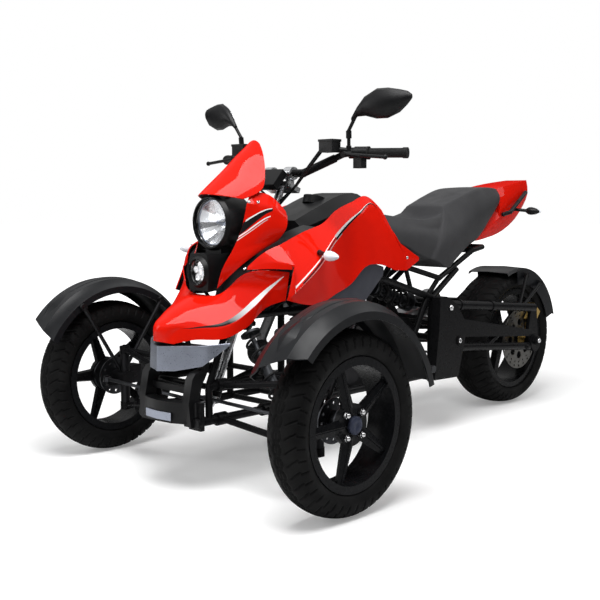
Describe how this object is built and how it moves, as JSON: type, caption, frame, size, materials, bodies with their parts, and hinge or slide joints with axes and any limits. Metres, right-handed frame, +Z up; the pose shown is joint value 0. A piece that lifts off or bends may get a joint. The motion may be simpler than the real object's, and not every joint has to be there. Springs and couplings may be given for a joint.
{
  "type": "motor trike",
  "caption": "Motor trike with two steered front wheels on wishbones, a driven rear wheel on a tube arm, angular red panels and a stepped seat.",
  "frame": {"origin": "on the floor under the middle of the bounding box", "axes": "+X forward, +Y to the rider's left, +Z up"},
  "size_m": [2.3989, 1.36, 1.304],
  "materials": {
    "frame_black": "satin black",
    "damper_metal": "machined",
    "spring_black": "satin black",
    "engine_alloy": "cast, dark",
    "exhaust_steel": "brushed",
    "paint_red": "gloss red",
    "plastic_black": "satin black",
    "lens_clear": "clear",
    "plastic_grey": "dark grey, grained",
    "seat_vinyl": "dark grey vinyl",
    "lens_red": "red lens",
    "plastic_silver": "silver grey satin",
    "peg_alloy": "satin",
    "chain_steel": "oiled",
    "caliper_gold": "gold",
    "bar_black": "satin black",
    "column_alloy": "satin",
    "grip_rubber": "matte",
    "knuckle_metal": "dark",
    "rod_steel": "satin",
    "tyre_rubber": "matte",
    "rim_black": "satin black",
    "hub_alloy": "machined",
    "disc_steel": "ground"
  },
  "bodies": {
    "chassis": {"frame_sides": "frame_black", "cross_members": "frame_black", "front_frame": "frame_black", "swingarm": "frame_black", "rear_shock": "damper_metal", "springs": "spring_black", "engine": "engine_alloy", "exhaust": "exhaust_steel", "wishbones": "frame_black", "front_dampers": "damper_metal", "beak": "paint_red", "headlamp_fairing": "paint_red", "flyscreen": "paint_red", "lamp_pod": "plastic_black", "lamp_lenses": "lens_clear", "tank_panels": "paint_red", "side_ducts": "plastic_black", "tank_cover": "plastic_grey", "side_covers": "plastic_grey", "seat": "seat_vinyl", "tail_cowl": "paint_red", "tail_lamp": "lens_red", "grab_rails": "plastic_black", "indicators": "plastic_black", "indicator_lenses": "lens_clear", "bumper": "plastic_black", "bumper_trim": "plastic_silver", "horn": "plastic_black", "hugger": "plastic_black", "footpegs": "peg_alloy", "drive_chain": "chain_steel", "rear_caliper": "caliper_gold"},
    "steering": {"handlebar": "bar_black", "steering_column": "column_alloy", "grips": "grip_rubber", "bar_controls": "plastic_black", "mirrors": "plastic_black"},
    "knuckle_left": {"knuckle_left": "knuckle_metal", "fender_left": "plastic_black"},
    "knuckle_right": {"knuckle_right": "knuckle_metal", "fender_right": "plastic_black"},
    "tie_rod_left": {"tie_rod_left": "rod_steel"},
    "tie_rod_right": {"tie_rod_right": "rod_steel"},
    "wheel_front_left": {"tyre_front_left": "tyre_rubber", "rim_front_left": "rim_black", "hub_front_left": "hub_alloy"},
    "wheel_front_right": {"tyre_front_right": "tyre_rubber", "rim_front_right": "rim_black", "hub_front_right": "hub_alloy"},
    "wheel_rear": {"tyre_rear": "tyre_rubber", "rim_rear": "rim_black", "rear_discs": "disc_steel"}
  },
  "joints": [
    {"name": "steer", "type": "hinge", "parent": "chassis", "child": "steering", "pos_m": [0.90406, 0, 0.25119], "axis": [-0.4226, 0, 0.9063], "range_deg": [-30, 30]},
    {"name": "knuckle_left_turn", "type": "hinge", "parent": "chassis", "child": "knuckle_left", "pos_m": [0.89656, 0.49, 0.281], "axis": [0, 0, 1], "range_deg": [-30, 30]},
    {"name": "knuckle_right_turn", "type": "hinge", "parent": "chassis", "child": "knuckle_right", "pos_m": [0.89656, -0.49, 0.281], "axis": [0, 0, 1], "range_deg": [-30, 30]},
    {"name": "tie_rod_left_turn", "type": "hinge", "parent": "knuckle_left", "child": "tie_rod_left", "pos_m": [0.97656, 0.49, 0.285], "axis": [0, 0, 1], "range_deg": [-30, 30]},
    {"name": "tie_rod_right_turn", "type": "hinge", "parent": "knuckle_right", "child": "tie_rod_right", "pos_m": [0.97656, -0.49, 0.285], "axis": [0, 0, 1], "range_deg": [-30, 30]},
    {"name": "wheel_front_left_spin", "type": "hinge", "parent": "knuckle_left", "child": "wheel_front_left", "pos_m": [0.89656, 0.59, 0.281], "axis": [0, 1, 0], "continuous": true},
    {"name": "wheel_front_right_spin", "type": "hinge", "parent": "knuckle_right", "child": "wheel_front_right", "pos_m": [0.89656, -0.59, 0.281], "axis": [0, 1, 0], "continuous": true},
    {"name": "wheel_rear_spin", "type": "hinge", "parent": "chassis", "child": "wheel_rear", "pos_m": [-0.87944, 0, 0.303], "axis": [0, 1, 0], "continuous": true}
  ],
  "couplings": [
    {"joint": "knuckle_left_turn", "follows": "steer", "ratio": 1},
    {"joint": "knuckle_right_turn", "follows": "steer", "ratio": 1},
    {"joint": "tie_rod_left_turn", "follows": "steer", "ratio": -1},
    {"joint": "tie_rod_right_turn", "follows": "steer", "ratio": -1}
  ]
}
